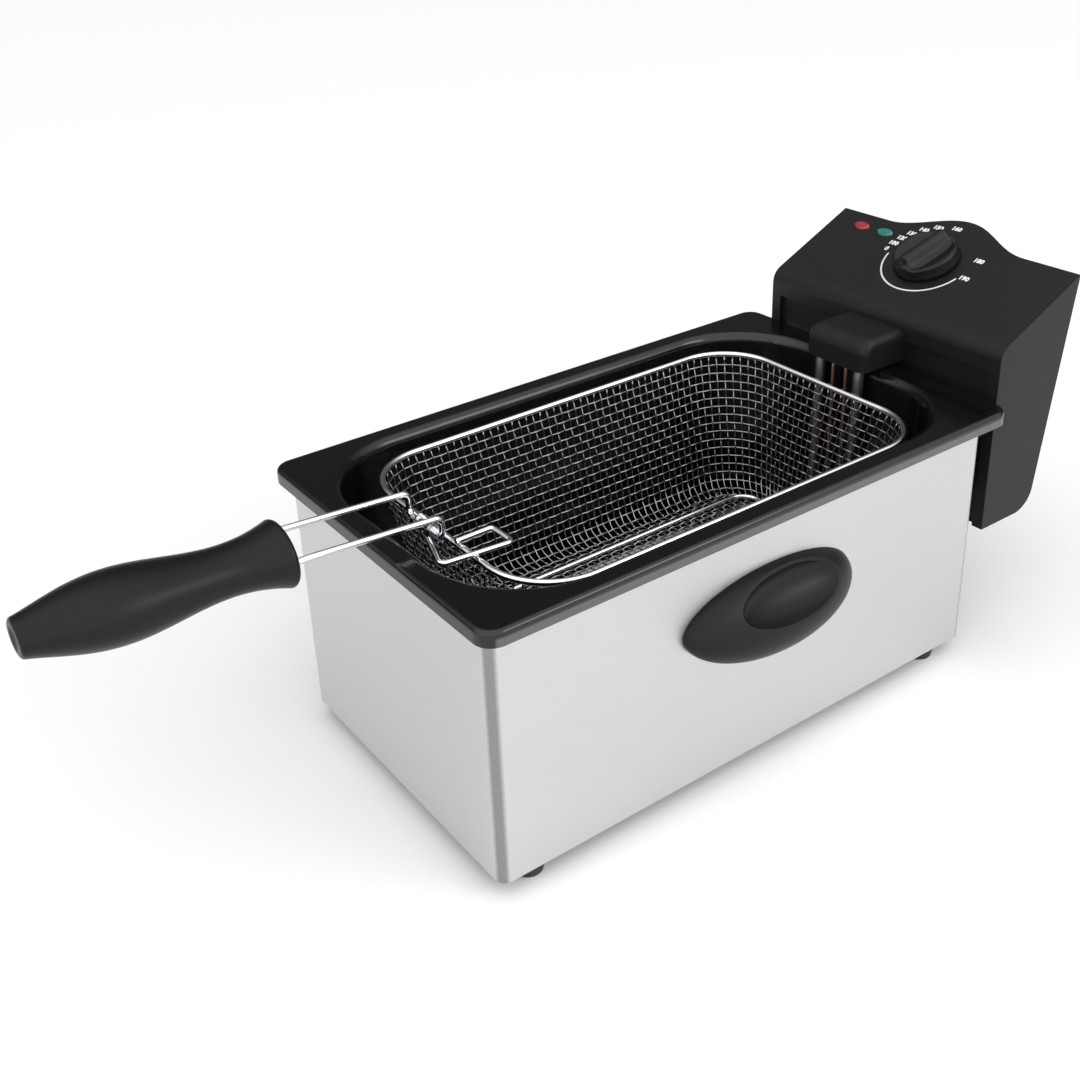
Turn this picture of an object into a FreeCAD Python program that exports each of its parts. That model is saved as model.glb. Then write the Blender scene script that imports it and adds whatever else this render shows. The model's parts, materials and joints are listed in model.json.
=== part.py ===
import FreeCAD, Part
import math
import os

# Countertop deep fryer: a stainless housing, a lift-out oil tank, a lift-off control
# head that carries the heating element, and a wire basket with a folding handle.
# Millimetres. +X runs from the basket handle to the control head, +Z up, table at z = 0.
# The parts are drawn about the middle of the housing and moved along X on export, so
# that the origin is under the middle of the whole fryer, handle included.

V = FreeCAD.Vector
UP = V(0, 0, 1)
ACROSS = V(0, 1, 0)
ALONG = V(1, 0, 0)

# ---- housing
HOUSING_L = 330.0
HOUSING_W = 186.0
HOUSING_Z0 = 10.0
HOUSING_Z1 = 155.0
SHEET = 0.8
BEND_R = 6.0
BASE_T = 1.5
FOOT_R = 9.5
FOOT_INSET_X = 23.0
FOOT_INSET_Y = 11.5

# ---- side handles: an oval pod on each long wall, its nose low, with a scoop for fingers
POD_X = 3.0
POD_Z = 100.5
POD_HALF_L = 57.0
POD_HALF_H = 22.0
POD_OUT = 21.0
POD_DROOP = 0.38
SCOOP_X = 9.5
SCOOP_OUT = 15.0
SCOOP_UP = 8.5
SCOOP_HALF_L = 36.0
SCOOP_HALF_H = 11.0
SCOOP_DEPTH = 12.5
SCOOP_EDGE_R = 1.5
POD_SCREW_X = 46.0

# ---- oil tank and its rim
RIM_TOP = 157.5
RIM_SKIRT = 8.0
RIM_T = 1.9
SKIRT_T = 1.6
RIM_LEFT = 6.0
RIM_RIGHT = 11.0
RIM_SIDE = 9.0
RIM_CORNER = 10.0
MOUTH_L = 324.0
MOUTH_W = 186.0
MOUTH_R = 58.0
LIP_R = 5.0
TANK_T = 1.2
TANK_FLOOR = 22.0
TANK_TAPER = 3.0
TANK_FLOOR_R = 14.0
POCKET_GAP = 1.3

# ---- control head
HEAD_FRONT = 181.0
HEAD_W = 176.0
HEAD_Z0 = 73.0
PANEL_Z = 185.0
PANEL_SLOPE = 24.7
HEAD_DEPTH_TOP = 64.0
HEAD_DEPTH_LOW = 43.0
HEAD_BULGE = 14.0
BULGE_HALF = 50.0
HEAD_EDGE_R = 10.0
HEAD_FOOT_R = 15.0
SHELL_T = 2.5
FRONT_T = 5.5
COVER_T = 3.0
RECESS_IN = 3.0
RECESS_SIDE = 7.0
RECESS_TOP = 171.0

# ---- knob, lamps and what is behind them, placed up the panel slope and across
KNOB_UP = 47.5
KNOB_Y = 2.0
KNOB_R = 20.5
KNOB_H = 15.0
KNOB_TURN = -11.7
SHAFT_R = 3.0
LAMP_UP = 59.5
RED_Y = 64.0
GREEN_Y = 45.0
LENS_HALF_L = 6.0
LENS_HALF_W = 3.6

# ---- heating element and its bridge over the rim
TUBE_R = 3.2
ELEMENT_Z = 46.0
LEG_X = 149.5
LEG_LEAN = 2.9
LEG_Y = 15.0
RUN_OUT = 54.0
RUN_IN = 19.0
RUN_FAR = 126.0
BRIDGE_Y = 2.0
BRIDGE_HALF_W = 23.0
BRIDGE_X0 = 146.5
BRIDGE_Z0 = 159.0
BRIDGE_Z1 = 178.0

# ---- basket
BASKET_X = 2.5
BASKET_L = 269.0
BASKET_W = 162.0
BASKET_R = 36.0
BASKET_TOP = 149.0
BASKET_FLOOR = 68.0
BASKET_FLOOR_L = 242.0
BASKET_FLOOR_W = 118.0
BASKET_FLOOR_R = 30.0
MESH_T = 1.6
RIM_WIRE_R = 1.7
FRAME_WIRE_R = 1.4
FRAME_HALF_W = 37.0
FRAME_HALF_L = 109.0

# ---- basket handle
WIRE_R = 1.6
WIRE_Y = 15.5
BEND_Z = 165.0
PIVOT_X = -137.5
PIVOT_Z = 154.0
GRIP_X0 = -331.6
GRIP_X1 = -211.8
GRIP_TIP_Z = 172.0
GRIP_COLLAR_Z = 167.0
GRIP_FLATNESS = 0.84
GRIP_EDGE_R = 2.2
GRIP_DISH_R = 14.0
GRIP_DISH = 1.4
GRIP_Z = 169.5
WIRE_IN = 26.0
WIRE_IN_Y = 6.0

# ---- cord gland and reset button, both under the control head
GLAND_X = 204.0
GLAND_Y = -62.0
GLAND_BORE_R = 3.75
RESET_X = 203.0
RESET_Y = 58.0
RESET_R = 4.0
RESET_TRAVEL = 2.0

CENTRE_SHIFT = -0.5 * (GRIP_X0 + HEAD_FRONT + HEAD_DEPTH_TOP + HEAD_BULGE)
SLOPE = math.radians(PANEL_SLOPE)
REAR_TILT = (HEAD_DEPTH_TOP - HEAD_DEPTH_LOW) / 139.0
PANEL_NORMAL = V(-math.sin(SLOPE), 0, math.cos(SLOPE))
PANEL_UP = V(math.cos(SLOPE), 0, math.sin(SLOPE))


def line(a, b):
    """A straight edge."""
    return Part.LineSegment(a, b).toShape()


def rounded_rectangle(half_l, half_w, radius, z, x=0.0, y=0.0):
    """A closed wire: a rectangle in a level plane, with round corners."""
    sin45 = radius * math.sqrt(0.5)
    edges = []
    corners = ((1, 1), (-1, 1), (-1, -1), (1, -1))
    for turn, (sx, sy) in enumerate(corners):
        centre = V(x + sx * (half_l - radius), y + sy * (half_w - radius), z)
        end_a = centre + V(sx * radius, 0, 0)
        end_b = centre + V(0, sy * radius, 0)
        first, last = (end_a, end_b) if turn % 2 == 0 else (end_b, end_a)
        middle = centre + V(sx * sin45, sy * sin45, 0)
        edges.append((first, middle, last))
    shapes = []
    for this, following in zip(edges, edges[1:] + edges[:1]):
        shapes.append(Part.Arc(*this).toShape())
        shapes.append(line(this[2], following[0]))
    return Part.Wire(shapes)


def slab(half_l, half_w, radius, z0, z1, x=0.0, y=0.0):
    """A block with round vertical corners."""
    face = Part.Face(rounded_rectangle(half_l, half_w, radius, z0, x, y))
    return face.extrude(V(0, 0, z1 - z0))


def tub(top, bottom, z_top, z_bottom, floor_r, x=0.0):
    """A solid that tapers between two round-cornered rectangles, its floor edge rounded."""
    upper = rounded_rectangle(*top, z_top, x)
    lower = rounded_rectangle(*bottom, z_bottom, x)
    body = Part.makeLoft([lower, upper], True, True)
    floor_edges = [e for e in body.Edges if abs(e.BoundBox.ZMax - z_bottom) < 0.01]
    return body.makeFillet(floor_r, floor_edges)


def rounded_path(points, bend):
    """A wire through points, with an arc of the bend radius at each inner point."""
    edges = []
    start = points[0]
    for before, corner, after in zip(points, points[1:], points[2:]):
        inward = (before - corner).normalize()
        outward = (after - corner).normalize()
        half_turn = (math.pi - inward.getAngle(outward)) / 2
        reach = bend * math.tan(half_turn)
        first = corner + inward * reach
        last = corner + outward * reach
        middle = corner + (inward + outward).normalize() * (bend / math.cos(half_turn) - bend)
        if (first - start).Length > 0.001:
            edges.append(line(start, first))
        edges.append(Part.Arc(first, middle, last).toShape())
        start = last
    edges.append(line(start, points[-1]))
    return Part.Wire(edges)


def rod(path, radius):
    """A round bar swept along a wire that starts with a straight edge."""
    first = path.Edges[0]
    start = first.valueAt(first.FirstParameter)
    direction = first.tangentAt(first.FirstParameter)
    section = Part.Wire(Part.makeCircle(radius, start, direction))
    return path.makePipeShell([section], True, False)


def ring(half_l, half_w, radius, z, wire_r, x=0.0, y=0.0):
    """A closed wire ring in a level plane: four straight bars and four bent corners."""
    pieces = []
    for sx, sy, angle in ((1, 1, 0), (-1, 1, 90), (-1, -1, 180), (1, -1, 270)):
        centre = V(x + sx * (half_l - radius), y + sy * (half_w - radius), z)
        bend = Part.makeTorus(radius, wire_r, centre, UP, 0, 360, 90)
        bend.rotate(centre, UP, angle)
        pieces.append(bend)
    straight_l = 2 * (half_l - radius)
    straight_w = 2 * (half_w - radius)
    for side in (-1, 1):
        start = V(x - straight_l / 2, y + side * half_w, z)
        pieces.append(Part.makeCylinder(wire_r, straight_l, start, ALONG))
        start = V(x + side * half_l, y - straight_w / 2, z)
        pieces.append(Part.makeCylinder(wire_r, straight_w, start, ACROSS))
    return pieces[0].multiFuse(pieces[1:])


def ellipse_face(half_a, half_b, centre, normal, along):
    """A flat elliptical face; half_a lies along the given direction."""
    side = normal.cross(along)
    if half_a >= half_b:
        curve = Part.Ellipse(centre + along * half_a, centre + side * half_b, centre)
    else:
        curve = Part.Ellipse(centre + side * half_b, centre + along * half_a, centre)
    return Part.Face(Part.Wire(curve.toShape()))


def group(solids):
    """Separate solids kept in one node."""
    return Part.makeCompound(solids)


# ---- housing ------------------------------------------------------------------------

def outer_housing():
    """The wrapped stainless wall: a tall open box with bent corners."""
    half_l = HOUSING_L / 2
    half_w = HOUSING_W / 2
    outside = slab(half_l, half_w, BEND_R, HOUSING_Z0, HOUSING_Z1)
    inside = slab(half_l - SHEET, half_w - SHEET, BEND_R - SHEET, HOUSING_Z0, HOUSING_Z1)
    return outside.cut(inside)


def housing_base():
    """The bottom pan, with a turned-up edge that lines the foot of the wall."""
    half_l = HOUSING_L / 2 - SHEET
    half_w = HOUSING_W / 2 - SHEET
    corner = BEND_R - SHEET
    pan = slab(half_l, half_w, corner, HOUSING_Z0, HOUSING_Z0 + 9)
    hollow_floor = HOUSING_Z0 + BASE_T
    hollow = slab(half_l - BASE_T, half_w - BASE_T, corner - BASE_T, hollow_floor, HOUSING_Z0 + 9)
    pan = pan.cut(hollow)
    for x, y in foot_places().values():
        pan = pan.cut(Part.makeCylinder(2.1, 4 * BASE_T, V(x, y, HOUSING_Z0 - BASE_T), UP))
    return pan


def foot_places():
    """Where the four feet stand."""
    x = HOUSING_L / 2 - FOOT_INSET_X
    y = HOUSING_W / 2 - FOOT_INSET_Y
    return {
        "foot_front_right": (-x, -y),
        "foot_front_left": (-x, y),
        "foot_rear_right": (x, -y),
        "foot_rear_left": (x, y),
    }


def foot(x, y):
    """A rubber foot: a short drum with a rounded tread and a screw well."""
    drum = Part.makeCone(FOOT_R - 2.2, FOOT_R, HOUSING_Z0, V(x, y, 0), UP)
    tread = [e for e in drum.Edges if e.BoundBox.ZMax < 0.01 and e.Length > 10]
    drum = drum.makeFillet(1.5, tread)
    well = Part.makeCylinder(4.0, 5.0, V(x, y, 0), UP)
    shank = Part.makeCylinder(2.1, HOUSING_Z0, V(x, y, 0), UP)
    return drum.cut(well).cut(shank)


def foot_screws():
    """A pan-head screw up through each foot into the base."""
    screws = []
    for x, y in foot_places().values():
        head = Part.makeCylinder(3.7, 2.4, V(x, y, 2.6), UP)
        shank = Part.makeCylinder(2.0, 11.0, V(x, y, 4.0), UP)
        screws.append(head.fuse(shank))
    return group(screws)


def drooping_ellipsoid(half_l, half_out, half_h):
    """An ellipsoid whose points sink in proportion to how far out they are, along -Y."""
    shape = Part.makeSphere(1.0, V(0, 0, 0), UP, -90, 90, 360)
    stretch = FreeCAD.Matrix()
    stretch.A11 = half_l
    stretch.A22 = half_out
    stretch.A33 = half_h
    stretch.A32 = POD_DROOP * half_out
    return shape.transformGeometry(stretch)


def side_handle(side):
    """The pod and its scoop; side is -1 on the right wall and 1 on the left one."""
    pod = drooping_ellipsoid(POD_HALF_L, POD_OUT, POD_HALF_H)
    outside = Part.makeBox(4 * POD_HALF_L, 2 * POD_OUT, 4 * POD_HALF_H)
    outside.translate(V(-2 * POD_HALF_L, -2 * POD_OUT, -2 * POD_HALF_H))
    pod = pod.common(outside)
    scoop = drooping_ellipsoid(SCOOP_HALF_L, SCOOP_DEPTH, SCOOP_HALF_H)
    scoop.translate(V(SCOOP_X - POD_X, -SCOOP_OUT, SCOOP_UP))
    pod = pod.cut(scoop)
    rim = [e for e in pod.Edges if e.BoundBox.YMax < -2.0 and e.Length > 20]
    pod = pod.makeFillet(SCOOP_EDGE_R, rim)
    for end in (-1, 1):
        pod = pod.cut(Part.makeCylinder(1.6, 6.0, V(end * POD_SCREW_X, 1.0, 0), ACROSS * -1))
    pod.translate(V(POD_X, -HOUSING_W / 2, POD_Z))
    return pod if side < 0 else pod.mirror(V(0, 0, 0), ACROSS)


def side_handle_screws():
    """Two screws from inside the wall into each pod."""
    screws = []
    for side in (-1, 1):
        out = V(0, side, 0)
        for end in (-1, 1):
            inner = V(POD_X + end * (POD_SCREW_X), side * (HOUSING_W / 2 - SHEET), POD_Z)
            head = Part.makeCylinder(3.2, 1.5, inner - out * 1.5, out)
            shank = Part.makeCylinder(1.55, 5.6, inner - out, out)
            screws.append(head.fuse(shank))
    return group(screws)


def handle_screw_holes():
    """Clearance drills through the housing wall for the side handle screws."""
    drills = []
    for side in (-1, 1):
        for end in (-1, 1):
            at = V(POD_X + end * (POD_SCREW_X), side * (HOUSING_W / 2 + 2), POD_Z)
            drills.append(Part.makeCylinder(1.6, 6.0, at, V(0, -side, 0)))
    return group(drills)


GUIDE_RAILS = (-46.0, 46.0)
GUIDE_Z0 = 84.0
GUIDE_Z1 = 148.0
CAP_X = 178.3
CAP_T = 1.7


def head_guide():
    """The bracket on the rear wall: a plate with two upright rails that locate the head."""
    rear = HOUSING_L / 2
    plate = slab(1.1, 60.0, 1.0, GUIDE_Z0, GUIDE_Z1, rear + 1.1)
    rails = []
    for y in GUIDE_RAILS:
        web = Part.makeBox(CAP_X - rear, 6.0, GUIDE_Z1 - GUIDE_Z0 - 8)
        web.translate(V(rear + 1.5, y - 3.0, GUIDE_Z0 + 4))
        cap = Part.makeBox(CAP_T, 14.0, GUIDE_Z1 - GUIDE_Z0 - 8)
        cap.translate(V(CAP_X, y - 7.0, GUIDE_Z0 + 4))
        rails.append(web.fuse(cap))
    guide = plate.multiFuse(rails).removeSplitter()
    return guide.cut(guide_drills())


def guide_drills():
    """The rivet holes of the guide bracket, through the plate and the housing wall."""
    rear = HOUSING_L / 2
    drills = []
    for y in (-30.0, 0.0, 30.0):
        for z in (GUIDE_Z0 + 10, GUIDE_Z1 - 10):
            drills.append(Part.makeCylinder(1.6, 8.0, V(rear - 3, y, z), ALONG))
    return group(drills)


def guide_rivets():
    """Six blind rivets that hold the guide bracket."""
    rear = HOUSING_L / 2
    rivets = []
    for y in (-30.0, 0.0, 30.0):
        for z in (GUIDE_Z0 + 10, GUIDE_Z1 - 10):
            shank = Part.makeCylinder(1.55, 4.6, V(rear - 1.6, y, z), ALONG)
            head = Part.makeCylinder(3.0, 1.0, V(rear + 2.2, y, z), ALONG)
            rivets.append(shank.fuse(head))
    return group(rivets)


# ---- oil tank -----------------------------------------------------------------------

def oil_tank():
    """The enamelled tank: flat rim with a turned-down skirt, rolled lip and tapered bucket."""
    rim_half_l = (HOUSING_L + RIM_LEFT + RIM_RIGHT) / 2
    rim_half_w = HOUSING_W / 2 + RIM_SIDE
    rim_x = (RIM_RIGHT - RIM_LEFT) / 2
    skirt_z = RIM_TOP - RIM_SKIRT
    slab_top = slab(rim_half_l, rim_half_w, RIM_CORNER, skirt_z, RIM_TOP, rim_x)
    top_edges = [e for e in slab_top.Edges if e.BoundBox.ZMin > RIM_TOP - 0.01]
    slab_top = slab_top.makeFillet(2.6, top_edges)
    wall_l = MOUTH_L / 2 - LIP_R
    wall_w = MOUTH_W / 2 - LIP_R
    wall_r = MOUTH_R - LIP_R
    low_l = wall_l - TANK_TAPER
    low_w = wall_w - TANK_TAPER
    low_r = wall_r - TANK_TAPER
    inside = tub((wall_l, wall_w, wall_r), (low_l, low_w, low_r),
                 RIM_TOP, TANK_FLOOR, TANK_FLOOR_R)
    outside = tub((wall_l + TANK_T, wall_w + TANK_T, wall_r + TANK_T),
                  (low_l + TANK_T, low_w + TANK_T, low_r + TANK_T),
                  RIM_TOP - 0.5, TANK_FLOOR - TANK_T, TANK_FLOOR_R + TANK_T)
    tank = slab_top.fuse(outside).cut(inside)
    lip = [e for e in tank.Edges
           if e.BoundBox.ZMin > RIM_TOP - 0.01 and inside_mouth(e, wall_l, wall_w)]
    tank = tank.makeFillet(LIP_R, lip)
    pocket = slab(rim_half_l - SKIRT_T, rim_half_w - SKIRT_T, RIM_CORNER - SKIRT_T,
                  skirt_z - 1, RIM_TOP - RIM_T, rim_x)
    core = slab(HOUSING_L / 2 - SHEET - 0.6, HOUSING_W / 2 - SHEET - 0.6, MOUTH_R - LIP_R,
                skirt_z - 2, RIM_TOP)
    return tank.cut(pocket.cut(core))


def inside_mouth(edge, half_l, half_w):
    """Whether an edge of the rim's top face belongs to the mouth."""
    box = edge.BoundBox
    return max(abs(box.XMin), abs(box.XMax)) < half_l + 1 and max(abs(box.YMin), abs(box.YMax)) < half_w + 1


# ---- control head -------------------------------------------------------------------

def rear_wall_x(z):
    """Where the head's rear wall stands at a height, beside the bulge."""
    return HEAD_FRONT + HEAD_DEPTH_LOW + REAR_TILT * (z - HEAD_Z0)


def head_side_bar(inset):
    """The head's side view drawn across: front wall, bottom and sloped panel, open behind."""
    wall = SHELL_T if inset else 0.0
    front = HEAD_FRONT + inset
    low = HEAD_Z0 + wall
    far = HEAD_FRONT + 100.0
    sink = wall / math.cos(SLOPE)
    top_front = PANEL_Z - sink + inset * math.tan(SLOPE)
    top_far = PANEL_Z - sink + 100.0 * math.tan(SLOPE)
    corners = [V(front, 0, low), V(far, 0, low), V(far, 0, top_far), V(front, 0, top_front)]
    profile = Part.Face(Part.makePolygon(corners + corners[:1]))
    profile.translate(V(0, -HEAD_W, 0))
    return profile.extrude(V(0, 2 * HEAD_W, 0))


def head_plan_bar(side_inset, rear_inset):
    """The head's plan drawn up along its tilted rear wall, which bulges in the middle by a
    raised cosine."""
    half = HEAD_W / 2 - side_inset
    front = HEAD_FRONT - 60
    z_low = HEAD_Z0 - 30
    rear = rear_wall_x(z_low) - rear_inset
    points = []
    count = 22
    for i in range(count + 1):
        y = -half + 2 * half * i / count
        reach = min(abs(y) / BULGE_HALF, 1.0)
        points.append(V(rear + HEAD_BULGE * 0.5 * (1 + math.cos(math.pi * reach)), y, z_low))
    curve = Part.BSplineCurve()
    curve.interpolate(Points=points, InitialTangent=ACROSS, FinalTangent=ACROSS)
    outline = [
        line(V(front, -half, z_low), points[0]),
        curve.toShape(),
        line(points[-1], V(front, half, z_low)),
        line(V(front, half, z_low), V(front, -half, z_low)),
    ]
    height = 220.0
    return Part.Face(Part.Wire(outline)).extrude(V(REAR_TILT * height, 0, height))


def rounded_head():
    """The head's outer form, with its brow and its lower rear edge rounded."""
    block = head_side_bar(0.0).common(head_plan_bar(0.0, 0.0))
    brow = [e for e in block.Edges
            if e.BoundBox.XMax < HEAD_FRONT + 0.1 and e.BoundBox.ZMin > PANEL_Z - 0.1]
    block = block.makeFillet(HEAD_EDGE_R, brow)
    tail = [e for e in block.Edges
            if e.BoundBox.ZMax < HEAD_Z0 + 0.1 and e.BoundBox.XMin > HEAD_FRONT + 10]
    return block.makeFillet(HEAD_FOOT_R, tail)


def on_panel(up, y, out=0.0):
    """A point on the sloped panel: so far up its slope, across, and out of it."""
    return V(HEAD_FRONT, y, PANEL_Z) + PANEL_UP * up + PANEL_NORMAL * out


def control_housing():
    """The moulded front shell: front wall, sides, bottom and sloped panel, open behind."""
    hollow = head_side_bar(FRONT_T).common(head_plan_bar(SHELL_T, -40.0))
    shell = rounded_head().cut(hollow).common(head_plan_bar(0.0, COVER_T))
    half = HEAD_W / 2 - RECESS_SIDE
    recess = Part.makeBox(RECESS_IN + 5, 2 * half, RECESS_TOP - HEAD_Z0 + 5)
    recess.translate(V(HEAD_FRONT - 5, -half, HEAD_Z0 - 5))
    shell = shell.cut(recess)
    shaft_hole = Part.makeCylinder(SHAFT_R + 0.6, 20, on_panel(KNOB_UP, KNOB_Y, -10), PANEL_NORMAL)
    shell = shell.cut(shaft_hole)
    for y in (RED_Y, GREEN_Y):
        window = ellipse_face(LENS_HALF_L, LENS_HALF_W, on_panel(LAMP_UP, y, -8), PANEL_NORMAL, ACROSS)
        shell = shell.cut(window.extrude(PANEL_NORMAL * 16))
    shell = shell.cut(slab(12.0, 17.0, 3.0, BRIDGE_Z0 + 2, BRIDGE_Z1 - 6, HEAD_FRONT + 2, BRIDGE_Y))
    shell = shell.cut(Part.makeCylinder(8.0, 10, V(GLAND_X, GLAND_Y, HEAD_Z0 - 5), UP))
    shell = shell.cut(Part.makeCylinder(RESET_R + 0.4, 10, V(RESET_X, RESET_Y, HEAD_Z0 - 5), UP))
    return shell.cut(bridge_block())


def control_rear_cover():
    """The rear wall of the head, a bulged plate with six screw holes."""
    cover = rounded_head().cut(head_plan_bar(-5.0, COVER_T))
    for at in cover_screw_places():
        cover = cover.cut(Part.makeCylinder(1.8, 20, at - ALONG * 10, ALONG))
        cover = cover.cut(Part.makeCylinder(3.4, 12, at - ALONG * 1.2, ALONG))
    return cover


def cover_screw_places():
    """The middle of the rear wall's thickness at each of its screws."""
    places = []
    for z in (104.0, 150.0, 190.0):
        for side in (-1, 1):
            places.append(V(rear_wall_x(z) - COVER_T / 2, side * (HEAD_W / 2 - 10), z))
    return places


def cover_screws():
    """Six self-tapping screws in the rear cover."""
    screws = []
    for at in cover_screw_places():
        head = Part.makeCylinder(3.2, 2.0, at - ALONG * 1.2, ALONG)
        shank = Part.makeCylinder(1.7, 9.0, at - ALONG * 10.0, ALONG)
        screws.append(head.fuse(shank))
    return group(screws)


def screw_bosses():
    """Posts inside the front shell that the cover screws bite into."""
    posts = []
    for at in cover_screw_places():
        start = V(HEAD_FRONT + FRONT_T - 0.5, at.y, at.z)
        length = at.x - COVER_T - start.x
        post = Part.makeCylinder(4.2, length, start, ALONG)
        bore = Part.makeCylinder(1.75, 12.0, V(start.x + length - 10.0, at.y, at.z), ALONG)
        web = Part.makeBox(length, HEAD_W / 2 - SHELL_T - abs(at.y) + 0.5, 1.6)
        low_y = at.y if at.y > 0 else -HEAD_W / 2 + SHELL_T - 0.5
        web.translate(V(start.x, low_y, at.z - 0.8))
        posts.append(post.fuse(web).cut(bore))
    return posts


def finished_control_housing():
    """The front shell with its screw posts moulded in."""
    form = rounded_head()
    posts = [post.common(form) for post in screw_bosses()]
    shell = control_housing().multiFuse(posts)
    return shell.common(head_plan_bar(0.0, COVER_T)).removeSplitter()


def head_hooks():
    """Two channels on the front wall that slide down over the guide rails."""
    hooks = []
    face = HEAD_FRONT + RECESS_IN
    front = CAP_X - 0.5 - 1.2
    height = GUIDE_Z1 - GUIDE_Z0 - 12
    for y in GUIDE_RAILS:
        channel = Part.makeBox(face - front, 19.0, height)
        channel.translate(V(front, y - 9.5, GUIDE_Z0 + 6))
        cap_room = Part.makeBox(CAP_T + 1.1, 15.2, height + 2)
        cap_room.translate(V(CAP_X - 0.5, y - 7.6, GUIDE_Z0 + 5))
        web_room = Part.makeBox(3.0, 7.2, height + 2)
        web_room.translate(V(front - 1, y - 3.6, GUIDE_Z0 + 5))
        hooks.append(channel.cut(cap_room).cut(web_room))
    return group(hooks)


def lamp_lens(y):
    """An oval lens: a flange behind the panel, a body through it and a crowned face."""
    body = ellipse_face(LENS_HALF_L - 0.15, LENS_HALF_W - 0.15, on_panel(LAMP_UP, y, -SHELL_T - 1),
                        PANEL_NORMAL, ACROSS).extrude(PANEL_NORMAL * (SHELL_T + 2.4))
    crown = [e for e in body.Edges if e.CenterOfMass.sub(on_panel(LAMP_UP, y, 1.4)).Length < 0.5]
    body = body.makeFillet(1.1, crown)
    flange = ellipse_face(LENS_HALF_L + 1.4, LENS_HALF_W + 1.4, on_panel(LAMP_UP, y, -SHELL_T - 1.3),
                          PANEL_NORMAL, ACROSS).extrude(PANEL_NORMAL * 1.2)
    return body.fuse(flange)


def lamp_bodies():
    """A neon lamp holder behind each lens."""
    holders = []
    for y in (RED_Y, GREEN_Y):
        start = on_panel(LAMP_UP, y, -SHELL_T - 3.0)
        holders.append(Part.makeCylinder(3.4, 12.0, start, V(-REAR_TILT, 0, -1)))
    return group(holders)


def thermostat_body():
    """The capillary thermostat: a can under the panel with a threaded bush and three tabs."""
    top = on_panel(KNOB_UP, KNOB_Y, -SHELL_T - 0.1)
    can = Part.makeCylinder(17.0, 20.0, top - PANEL_NORMAL * 6, PANEL_NORMAL * -1)
    bush = Part.makeCylinder(5.5, 6.2, top, PANEL_NORMAL * -1)
    body = can.fuse(bush)
    for shift in (-9.0, 0.0, 9.0):
        tab = Part.makeBox(1.0, 6.0, 9.0)
        tab.translate(V(-0.5, shift - 3.0, -9.0))
        tab.rotate(V(0, 0, 0), ACROSS, -PANEL_SLOPE)
        tab.translate(top - PANEL_NORMAL * 25.5)
        body = body.fuse(tab)
    bore = Part.makeCylinder(SHAFT_R + 0.05, 16.0, top + PANEL_NORMAL * 0.2, PANEL_NORMAL * -1)
    return body.cut(bore)


def thermostat_shaft():
    """The D-shaped spindle that the knob turns."""
    start = on_panel(KNOB_UP, KNOB_Y, -SHELL_T - 15.0)
    spindle = Part.makeCylinder(SHAFT_R, 15.0 + SHELL_T + 9.0, start, PANEL_NORMAL)
    flat = Part.makeBox(10.0, 10.0, 8.2)
    flat.translate(V(1.6, -5.0, 0.0))
    flat.rotate(V(0, 0, 0), UP, KNOB_TURN)
    flat.rotate(V(0, 0, 0), ACROSS, -PANEL_SLOPE)
    flat.translate(on_panel(KNOB_UP, KNOB_Y, 1.5))
    return spindle.cut(flat)


def temperature_knob():
    """A round knob with a raised finger bar, hollow below and with a D-bore."""
    base = on_panel(KNOB_UP, KNOB_Y, 0.6)
    skirt = Part.makeCone(KNOB_R, KNOB_R - 1.6, 6.5, V(0, 0, 0), UP)
    bar = Part.makeBox(2 * KNOB_R - 5.0, 9.0, KNOB_H)
    bar.translate(V(-KNOB_R + 2.5, -4.5, 0))
    top_edges = [e for e in bar.Edges if e.BoundBox.ZMin > KNOB_H - 0.01]
    bar = bar.makeFillet(3.0, top_edges)
    knob = skirt.fuse(bar)
    hollow = Part.makeCylinder(KNOB_R - 4.0, 4.0, V(0, 0, 0), UP)
    boss = Part.makeCylinder(5.6, 4.0, V(0, 0, 0), UP)
    knob = knob.cut(hollow.cut(boss))
    bore = Part.makeCylinder(SHAFT_R, 9.4, V(0, 0, -0.5), UP)
    flat = Part.makeBox(10.0, 10.0, 12.0)
    flat.translate(V(1.6, -5.0, 0.9))
    knob = knob.cut(bore.cut(flat))
    knob.rotate(V(0, 0, 0), UP, KNOB_TURN)
    knob.rotate(V(0, 0, 0), ACROSS, -PANEL_SLOPE)
    knob.translate(base)
    return knob


def safety_cutout():
    """The resettable over-temperature limiter above the reset button."""
    low = HEAD_Z0 + SHELL_T + RESET_TRAVEL + 4.0
    block = slab(11.0, 14.0, 3.0, low, low + 18.0, RESET_X, RESET_Y)
    ear = Part.makeBox(8.0, 20.0, 14.0)
    ear.translate(V(HEAD_FRONT + FRONT_T, RESET_Y - 10.0, low + 2.0))
    throat = Part.makeCylinder(2.6, 3.5, V(RESET_X, RESET_Y, low - 0.5), UP)
    return block.fuse(ear).cut(throat)


def reset_button():
    """A short plunger through the bottom of the head, with a collar inside."""
    stem = Part.makeCylinder(RESET_R, SHELL_T + 2.2, V(RESET_X, RESET_Y, HEAD_Z0 - 1.6), UP)
    rim = [e for e in stem.Edges if e.BoundBox.ZMax < HEAD_Z0 - 1.5 and e.Length > 10]
    stem = stem.makeFillet(0.8, rim)
    collar = Part.makeCylinder(RESET_R + 1.4, 1.0, V(RESET_X, RESET_Y, HEAD_Z0 + SHELL_T + 0.4), UP)
    pin = Part.makeCylinder(2.2, 4.0, V(RESET_X, RESET_Y, HEAD_Z0 + SHELL_T + 1.0), UP)
    return stem.multiFuse([collar, pin])


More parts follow.
